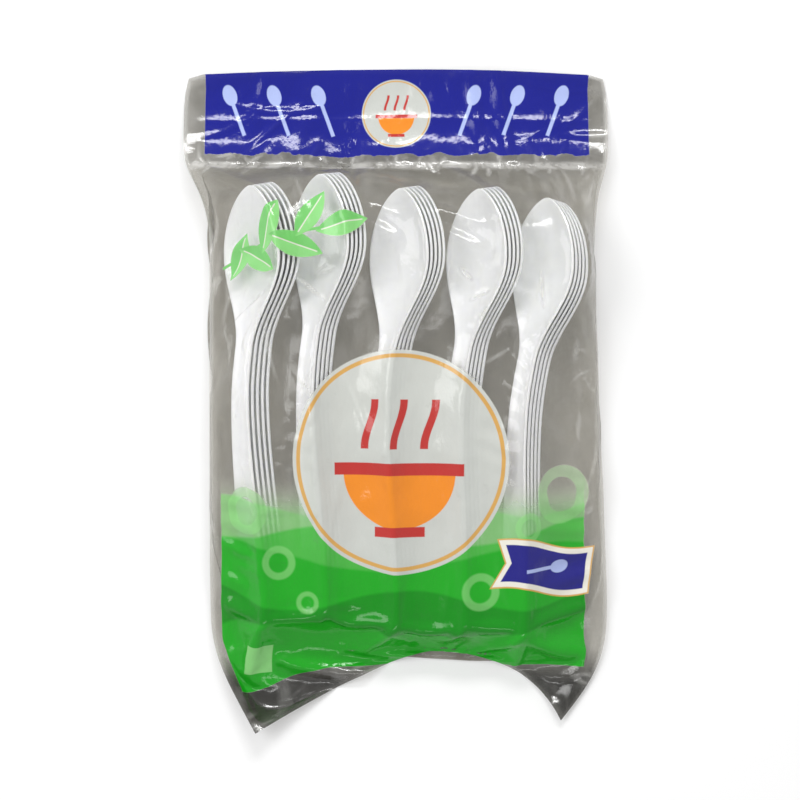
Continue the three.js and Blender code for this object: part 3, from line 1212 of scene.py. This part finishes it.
def medallion(printing, middle, radius):
    """A milky disc in a gold ring, with a steaming bowl on it."""
    place = printing.place.seen_from(middle)
    edge = disc(place, (0, 0), radius)
    printing.lay(INK_MILK, inked(edge), MILKY_COVER)
    gold = (edge + radius * GOLD_INSET).size() - radius * GOLD_HALF_WIDTH
    printing.lay(INK_GOLD, inked(gold), LINE_COVER)
    dish = soup_bowl(place.seen_from((0, radius * DISH_LIFT)), radius * DISH_RADIUS)
    printing.lay(INK_ORANGE, inked(dish), DENSE_COVER)
    bars = []
    for shares in DISH_BARS:
        lift, half_width, half_height = (radius * share for share in shares)
        bars.append(band(place.seen_from((0, lift)), half_width, half_height))
    printing.lay(INK_RED, inked(bars[0].least(bars[1])), DENSE_COVER)
    for shift in STEAM_SHIFTS:
        wisp = place.seen_from((radius * shift, radius * STEAM_LIFT))
        wave = wisp.x - (wisp.y * (STEAM_TURNS / radius)).sine() * (radius * STEAM_SWING)
        steam = (wave.size() - radius * STEAM_HALF_WIDTH).most(wisp.y.size() - radius * STEAM_HALF_HEIGHT)
        printing.lay(INK_RED, inked(steam), LINE_COVER)


print("wisps of steam on a medallion:", len(STEAM_SHIFTS))

# %% [markdown]
# Each part of the print is now a short function that lays its inks in turn. The lower edge of the blue
# header wanders with noise, because the seal below it gathers the film. The green foot is a pile of waves,
# each laid over the one behind it, under a thin veil.

# %% The header's print
HEADER_PRINT_LEFT = -69.0
HEADER_PRINT_RIGHT = 69.8
HEADER_PRINT_FOOT = 88.5
GATHER_NOISE = (0.16, 3.0)
GATHER_HEIGHT = 5.0
HEADER_MEDALLION = ((0.0, 104.0), 12.5)
HEADER_SPOONS = (-58.0, -42.0, -26.0, 26.0, 42.0, 58.0)
HEADER_SPOONS_Y = 105.0
HEADER_SPOON_LEAN = 20.0
HEADER_SPOON_LENGTH = 19.0
UPRIGHT = 90.0


def print_header(printing):
    place = printing.place
    sides = (place.x - (HEADER_PRINT_LEFT + HEADER_PRINT_RIGHT) / 2).size()
    gathers = noise(printing.tree, place.vector, *GATHER_NOISE) * GATHER_HEIGHT - GATHER_HEIGHT / 2
    low = gathers + HEADER_PRINT_FOOT - place.y
    field = (sides - (HEADER_PRINT_RIGHT - HEADER_PRINT_LEFT) / 2).most(low)
    printing.lay(INK_BLUE, inked(field), FULL_COVER)
    for x in HEADER_SPOONS:
        own = place.seen_from((x, HEADER_SPOONS_Y), UPRIGHT - math.copysign(HEADER_SPOON_LEAN, x))
        printing.lay(INK_PALE_BLUE, inked(spoon_mark(own, HEADER_SPOON_LENGTH)), FULL_COVER)
    medallion(printing, *HEADER_MEDALLION)


print("spoons on the header:", len(HEADER_SPOONS))

# %% The green foot
FIELD_LEFT = -63.0
FIELD_RIGHT = 68.5
FIELD_TOP = -40.0
FIELD_FOOT = -95.5
FIELD_TAPER = (-84.0, -104.0)
FIELD_TAPER_WIDTH = 8.0
FIELD_SAG = (-20.0, -58.0)
FIELD_SAG_DEPTH = 9.0
FIELD_VEIL = (-16.0, 4.0)
FIELD_WAVES = [
    # ink, how much it covers, crest above the field's top, swing, turns along x and shift
    (INK_PALE_GREEN, 0.62, 3.5, 3.2, 0.085, 0.4),
    (INK_FRESH_GREEN, 0.86, -5.0, 3.4, 0.07, 2.9),
    (INK_GREEN, DENSE_COVER, -13.0, 4.2, 0.055, 5.0),
    (INK_DEEP_GREEN, DENSE_COVER, -27.0, 3.6, 0.075, 1.2),
    (INK_GREEN, DENSE_COVER, -38.0, 3.0, 0.06, 3.6),
]
WAVE_EDGE = 1.4
BUBBLES = [
    # middle and radius
    ((-52.0, -38.0), 6.5),
    ((-40.0, -55.0), 4.5),
    ((60.0, -33.0), 8.0),
    ((46.5, -43.0), 4.0),
    ((-30.0, -68.0), 3.0),
    ((30.0, -64.0), 5.0),
]
BUBBLE_RING = 0.26
BUBBLE_EDGE = 0.8
BUBBLE_STRENGTH = 0.55


def print_green_field(printing):
    place = printing.place
    left = place.y.ramp(*FIELD_TAPER) * FIELD_TAPER_WIDTH + FIELD_LEFT - place.x
    right = place.x - FIELD_RIGHT
    low = place.x.ramp(*FIELD_SAG) * -FIELD_SAG_DEPTH + FIELD_FOOT - place.y
    inside = inked(left.most(right).most(low))
    veil = (FIELD_TOP - place.y).ramp(*FIELD_VEIL)
    printing.lay(INK_PALE_GREEN, inside * veil, VEIL_COVER)
    for ink, cover, lift, swing, turns, shift in FIELD_WAVES:
        crest = (place.x * turns + shift).sine() * swing + (FIELD_TOP + lift)
        printing.lay(ink, inside * inked(place.y - crest, WAVE_EDGE), cover)
    for middle, radius in BUBBLES:
        ring = disc(place, middle, radius).size() - radius * BUBBLE_RING
        printing.lay(INK_PALE_GREEN, inked(ring, BUBBLE_EDGE) * BUBBLE_STRENGTH, THIN_COVER)


print("waves on the foot:", len(FIELD_WAVES), "and bubbles:", len(BUBBLES))

# %% [markdown]
# Smaller things lie over the bowls and on the foot: a sprig with a pale vein in each leaf, a waving ribbon
# with a notched end, and a plain panel.

# %% The sprig over the bowls
SPRIG_LEAVES = [
    # middle, angle in degrees, half length and half width
    ((-55.0, 49.0), 62.0, 8.5, 3.6),
    ((-47.0, 47.5), -28.0, 9.0, 3.8),
    ((-41.0, 57.5), 66.0, 9.5, 4.0),
    ((-32.0, 51.0), -22.0, 9.5, 4.0),
    ((-27.0, 60.5), 58.0, 8.5, 3.6),
    ((-16.5, 57.0), 14.0, 9.0, 3.8),
]
LEAF_FOLD = 1.2
VEIN_HALF_WIDTH = 0.18
VEIN_REACH = 0.8
STEM_MIDDLE = (-37.0, 53.0)
STEM_ANGLE = 12.0
STEM_BOW = 0.003
STEM_LIFT = 0.6
STEM_HALF_WIDTH = 0.5
STEM_HALF_LENGTH = 26.0


def print_sprig(printing):
    place = printing.place
    stem = place.seen_from(STEM_MIDDLE, STEM_ANGLE)
    curve = (stem.y + stem.x * stem.x * STEM_BOW - STEM_LIFT).size() - STEM_HALF_WIDTH
    printing.lay(INK_LEAF, inked(curve.most(stem.x.size() - STEM_HALF_LENGTH)), LINE_COVER)
    for middle, angle, half_length, half_width in SPRIG_LEAVES:
        own = place.seen_from(middle, angle)
        shape = inked(leaf(own, half_length, half_width))
        two_tone = blend_colours(printing.tree, inked(own.y, LEAF_FOLD), INK_LEAF, INK_PALE_GREEN)
        printing.lay(two_tone, shape, LEAF_COVER)
        vein = (own.y.size() - VEIN_HALF_WIDTH).most(own.x.size() - half_length * VEIN_REACH)
        printing.lay(INK_CREAM, inked(vein), MILKY_COVER)


print("leaves on the sprig:", len(SPRIG_LEAVES))

# %% The ribbon, the panel and the face
RIBBON_MIDDLE = (53.5, -57.5)
RIBBON_ANGLE = -8.0
RIBBON_TURNS = 0.16
RIBBON_SWING = 1.3
RIBBON_HALF_HEIGHT = 6.2
RIBBON_RIGHT = 15.6
RIBBON_LEFT = -16.5
NOTCH_SLOPE = -0.45
NOTCH_DEPTH = 3.0
RIBBON_RIMS = [
    # ink and width
    (INK_GOLD, 2.2),
    (INK_CREAM, 1.7),
]
RIBBON_MARK_MIDDLE = (0.5, 0)
RIBBON_MARK_LENGTH = 17.0
PANEL_MIDDLE = (-47.0, -91.0)
PANEL_ANGLE = -4.0
PANEL_HALF_SIZE = (5.0, 5.5)
FACE_MEDALLION = ((2.0, -21.0), 37.0)


def print_ribbon(printing):
    place = printing.place.seen_from(RIBBON_MIDDLE, RIBBON_ANGLE)
    wavy = place.y + (place.x * RIBBON_TURNS).sine() * RIBBON_SWING
    notch = RIBBON_LEFT - place.x + wavy.size() * NOTCH_SLOPE + NOTCH_DEPTH
    shape = (wavy.size() - RIBBON_HALF_HEIGHT).most(place.x - RIBBON_RIGHT).most(notch)
    for ink, width in RIBBON_RIMS:
        printing.lay(ink, inked(shape - width), LINE_COVER)
    printing.lay(INK_RIBBON, inked(shape), FULL_COVER)
    mark = spoon_mark(place.seen_from(RIBBON_MARK_MIDDLE, -RIBBON_ANGLE), RIBBON_MARK_LENGTH)
    printing.lay(INK_PALE_BLUE, inked(mark), LINE_COVER)


def print_panel(printing):
    panel = band(printing.place.seen_from(PANEL_MIDDLE, PANEL_ANGLE), *PANEL_HALF_SIZE)
    printing.lay(INK_PALE_GREEN, inked(panel), THIN_COVER)


def print_face(printing):
    medallion(printing, *FACE_MEDALLION)


print("medallion on the face: radius in mm", FACE_MEDALLION[1])

# %% [markdown]
# ## Film and ink
# Clear film lets most light straight through, mirrors a little of the room, and is faintly hazy where it
# has been handled; the haze also holds painted highlight along its creases and seal, and painted sheen in
# long streaks. A Transparent shader passes the light, a Glossy one mirrors it, and ink is an opaque
# Principled between them. How much is mirrored follows Schlick's formula on Layer Weight's Facing, which is
# the same from both sides. The Fresnel node isn't: from inside the bag it would take the film for a thick
# block of plastic and shut the light in. Fine noise bends the normal, so reflections break up as they do on
# thin film. The back sheet carries painted shade: its grey-brown tint stands for a dark surface in shadow
# seen through the film, which gives the gaps between the spoons their grey, and it is painted darker still
# in the loose corners.

# %% Shaders for film
FILM_ROUGHNESS = 0.12
FILM_MIRROR = 0.04
SCHLICK_POWER = 5.0
EVEN_BLEND = 0.5
HAZE_COLOUR = (0.72, 0.71, 0.68, 1)
WRINKLE_NOISE = (0.22, 3.0, 0.55)
WRINKLE_STRETCH = 0.45
PEEL_NOISE = (1.1, 2.0)
PEEL_SHARE = 0.12
WRINKLE_HEIGHT = 0.7 * MM
WRINKLE_STRENGTH = 0.5


def mix_shaders(tree, share, first, second):
    return add_node(tree, "MixShader", {0: share, 1: first, 2: second})


def film_bump(place):
    """Shallow wrinkles, drawn out along the bag, and a finer orange peel."""
    wrinkle = noise(place.tree, place.stretched(WRINKLE_STRETCH), *WRINKLE_NOISE)
    peel = noise(place.tree, place.vector, *PEEL_NOISE)
    return bump(place.tree, wrinkle + peel * PEEL_SHARE, WRINKLE_HEIGHT, WRINKLE_STRENGTH)


def clear_film(tree, tint, haze, normal):
    clear = add_node(tree, "BsdfTransparent", {"Color": tint})
    mist = add_node(tree, "BsdfDiffuse", {"Color": HAZE_COLOUR, "Normal": normal})
    return mix_shaders(tree, haze, clear, mist)


def with_gloss(tree, under, normal):
    gloss = add_node(tree, "BsdfGlossy", {"Roughness": FILM_ROUGHNESS, "Normal": normal})
    weight = add_node(tree, "LayerWeight", {"Blend": EVEN_BLEND, "Normal": normal})
    grazing = Field(tree, weight.outputs["Facing"]).power(SCHLICK_POWER)
    return mix_shaders(tree, grazing * (1 - FILM_MIRROR) + FILM_MIRROR, under, gloss)


print("film mirror at right angles:", FILM_MIRROR)

# %% [markdown]
# Film whitens where it has been welded or rubbed. A light haze along the sharpest creases and the crumpled
# seal is painted highlight, on the seal mixed with its own whitening. How far a point lies from the rim, and
# how high its crease is, will be kept with the points of the sheets as attributes, which an Attribute node
# reads.

# %% Where the film is hazy
RIM_WIDTH = 2.2
RIM_HAZE = 0.4
SEAL_WIDTH = 2.4
# the seal's haze is partly its whitening and partly painted highlight on its crumples
SEAL_HAZE_AND_HIGHLIGHT = 0.5
SEAL_BREAKS = (0.3, 0.6)
# painted highlight: a light haze along the sharpest creases
CREASE_HIGHLIGHT_HAZE = 0.45
CORNER_FADE = (2.0, -12.0)
CORNER_CLEAR = 0.85


def measured(tree, label):
    """A number that is kept with each point of the sheet."""
    return Field(tree, add_node(tree, "Attribute", attribute_name=label).outputs["Fac"])


def rim_mist(tree):
    """The haze of the welded rim, falling to 0 a little inside it."""
    return measured(tree, "from_rim").ramp(RIM_WIDTH, 0.0) * RIM_HAZE


def crease_painted_highlight(tree):
    """A light haze along the sharpest creases: painted highlight on their folds."""
    return measured(tree, "crease").ramp(CREASE_HEIGHT[0] / 2, CREASE_HEIGHT[1]) * CREASE_HIGHLIGHT_HAZE


def seal_mist_and_highlight(place, scuffs):
    """The haze along the welded seal, partly its whitening and partly painted highlight on its crumples,
    broken up by the scuffs, falling to 0 beside it.
    """
    return (place.y - seal).size().ramp(SEAL_WIDTH, SEAL_WIDTH / 4) * scuffs.ramp(*SEAL_BREAKS) * SEAL_HAZE_AND_HIGHLIGHT


def in_shaded_corners(place):
    """1 in the loose corners, which carry painted shade, and 0 above them."""
    return place.y.ramp(*(foot + height for height in CORNER_FADE))


print("haze of the rim, the seal and the creases:", RIM_HAZE, SEAL_HAZE_AND_HIGHLIGHT, CREASE_HIGHLIGHT_HAZE)

# %% The finish of the front and of the back
FRONT_TINT = (0.985, 0.984, 0.98, 1)
FRONT_SCUFFS = (0.12, 4.0, 0.65)
FRONT_SCUFFED = (0.45, 0.8)
FRONT_SCUFF_HAZE = 0.06
FRONT_HAZE = 0.01
# painted sheen: lighter streaks drawn out along the bag stand for the gleam of long soft folds
STREAK_NOISE = (0.13, 3.0, 0.6)
STREAK_STRETCH = 0.25
STREAKED = (0.5, 0.75)
STREAK_SHEEN_HAZE = 0.13
INK_ROUGHNESS = 0.45
INK_WORN = (0.62, 0.86)
INK_WEAR = 0.25
# painted shade: these tints stand for a dark surface in shadow seen through the clear film, darker behind
# the header and darkest in the loose corners
BACK_SHADE_TINT = (0.56, 0.54, 0.495, 1)
HEADER_SHADE_TINT = (0.4, 0.39, 0.36, 1)
HEADER_FADE = 2.0
CORNER_SHADE_TINT = (0.055, 0.051, 0.041, 1)
BACK_SCUFFS = (0.1, 4.0, 0.65)
BACK_SCUFFED = (0.35, 0.85)
BACK_SCUFF_HAZE = 0.2
BACK_HAZE = 0.06


def front_film(name, parts):
    """Clear film with the given parts of the print on it."""
    material, tree = new_material(name)
    place = place_on_film(tree)
    normal = film_bump(place)
    scuffs = noise(tree, place.vector, *FRONT_SCUFFS)
    # less haze in the loose corners, so that their painted shade stays dark
    rim = rim_mist(tree) * (1 - in_shaded_corners(place) * CORNER_CLEAR)
    # the weld's haze, with painted highlight along the crumpled seal
    weld_haze_and_highlight = rim.most(seal_mist_and_highlight(place, scuffs))
    # painted sheen of long folds, as light streaks in the haze
    sheen_streaks = noise(tree, place.stretched(STREAK_STRETCH), *STREAK_NOISE).ramp(*STREAKED) * STREAK_SHEEN_HAZE
    haze = scuffs.ramp(*FRONT_SCUFFED) * FRONT_SCUFF_HAZE + sheen_streaks + FRONT_HAZE
    # the haze holds painted highlight along the creases and the seal
    clear = clear_film(tree, FRONT_TINT, haze.most(weld_haze_and_highlight).most(crease_painted_highlight(tree)), normal)
    printing = Printing(place)
    for part in parts:
        part(printing)
    ink_inputs = {"Base Color": printing.colour, "Roughness": INK_ROUGHNESS, "Specular IOR Level": 0.0}
    ink = add_node(tree, "BsdfPrincipled", {**ink_inputs, "Normal": normal})
    worn = printing.cover * (1 - scuffs.ramp(*INK_WORN) * INK_WEAR)
    faced = mix_shaders(tree, worn, clear, ink)
    add_node(tree, "OutputMaterial", {"Surface": with_gloss(tree, faced, normal)})
    return material


def back_film():
    """Clear film with painted shade in its tint: grey, darker behind the header and darkest in the loose
    corners.
    """
    material, tree = new_material("film_back")
    place = place_on_film(tree)
    normal = film_bump(place)
    corner = in_shaded_corners(place)
    header = place.y.ramp(seal - HEADER_FADE, seal + HEADER_FADE)
    # painted shade: the tint darkens behind the header and darkens most in the loose corners
    tint = blend_colours(tree, header, BACK_SHADE_TINT, HEADER_SHADE_TINT)
    tint = blend_colours(tree, corner, tint, CORNER_SHADE_TINT)
    scuffs = noise(tree, place.vector, *BACK_SCUFFS)
    haze = (scuffs.ramp(*BACK_SCUFFED) * BACK_SCUFF_HAZE + BACK_HAZE).most(rim_mist(tree))
    # less haze in the loose corners, so that their painted shade stays dark
    clear = clear_film(tree, tint, haze * (1 - corner * CORNER_CLEAR), normal)
    add_node(tree, "OutputMaterial", {"Surface": with_gloss(tree, clear, normal)})
    return material


print("light through the back film:", BACK_SHADE_TINT[:3])

# %% [markdown]
# Working out the whole print at every point would slow the render, because light that only passes through
# the film asks for it too. So the front sheet has three materials, each with the parts of the print that
# reach its zone. Their finish is worked out from the same places, so nothing shows where they meet.

# %% The zones of the front sheet
BOWLS_ZONE_FOOT = 22.0
HEADER_ZONE_LIFT = 1.0
PRINT_ZONES = [
    # material, the parts of the print in it, and its lowest place on the film
    ("film_foot", [print_green_field, print_face, print_ribbon, print_panel], -math.inf),
    ("film_bowls", [print_sprig], BOWLS_ZONE_FOOT),
    ("film_header", [print_header], seal + HEADER_ZONE_LIFT),
]
print("print zones:", [name for name, _, _ in PRINT_ZONES])

# %% [markdown]
# ## The two sheets
# Front and back are one piece of film on the real bag, printed on one side. Here they are two open sheets
# that share their border point for point, so the bag is closed, and each can have its own finish and its
# own flat size. The quads follow the grid, and the back sheet's are turned over so that both face outwards.

# %% Faces, rims and the vent
VENT_RADIUS = 3.0
VENT_DROP = 40.0
VENT_MIDDLE = (0.0, seal - VENT_DROP)


def sheet_faces(high, wide, turned_over):
    number = np.arange(high * wide).reshape(high, wide)
    corners = [number[:-1, :-1], number[:-1, 1:], number[1:, 1:], number[1:, :-1]]
    return np.stack(corners[::-1] if turned_over else corners, axis=-1).reshape(-1, 4)


def rim_distances(high, wide):
    """Roughly how far each point lies from the sheet's border."""
    row = np.minimum(np.arange(high), np.arange(high)[::-1])[:, None]
    column = np.minimum(np.arange(wide), np.arange(wide)[::-1])[None, :]
    return np.minimum(row, column) * FILM_STEP / 2


def punch_vent(points, faces):
    """Leaves out the faces inside the vent and draws their border onto its circle."""
    reach = fine_plan.reshape(-1, 2) - VENT_MIDDLE
    distance = np.linalg.norm(reach, axis=1)
    inside = distance < VENT_RADIUS
    faces = faces[~inside[faces].all(axis=1)]
    border = np.unique(faces)
    border = border[inside[border]]
    short = (VENT_RADIUS / distance[border] - 1)[:, None]
    points.reshape(-1, 3)[border, :2] += reach[border] * short
    return faces


print("vent in mm: radius", VENT_RADIUS, "at", [round(float(side), 1) for side in VENT_MIDDLE])


# %% Make the sheets
def sheet_piece(name, points, faces, materials):
    """A piece of film, with its plan in a UV map and what its haze needs in attributes."""
    used, faces = np.unique(faces, return_inverse=True)
    piece = mesh_piece(name, points.reshape(-1, 3)[used], faces.reshape(-1, 4).tolist(), *materials)
    for label, field in (("from_rim", rim_distances(*points.shape[:2])), ("crease", creases)):
        values = piece.data.attributes.new(label, "FLOAT", "POINT")
        values.data.foreach_set("value", field.ravel()[used].astype(np.float32))
    layer = piece.data.uv_layers.new(name="plan")
    corners = np.empty(len(piece.data.loops), dtype=np.int32)
    piece.data.loops.foreach_get("vertex_index", corners)
    uv = (fine_plan.reshape(-1, 2)[used] / UV_SPAN + UV_MIDDLE)[corners]
    layer.data.foreach_set("uv", uv.astype(np.float32).ravel())
    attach(piece, "root")
    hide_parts("bag_film")
    return piece


flat_square_metres = float(quad_area(flat)) * MM * MM
front_faces = sheet_faces(*front_points.shape[:2], turned_over=False)
front_materials = [front_film(name, parts) for name, parts, _ in PRINT_ZONES]
front = sheet_piece("film_front", front_points, front_faces, front_materials)
zone_numbers = sum((fine_plan[:-1, :-1, 1] >= lowest).astype(np.int32) for _, _, lowest in PRINT_ZONES[1:])
front.data.polygons.foreach_set("material_index", zone_numbers.ravel())
back_faces = punch_vent(back_points, sheet_faces(*back_points.shape[:2], turned_over=True))
back = sheet_piece("film_back", back_points, back_faces, [back_film()])

# %% [markdown]
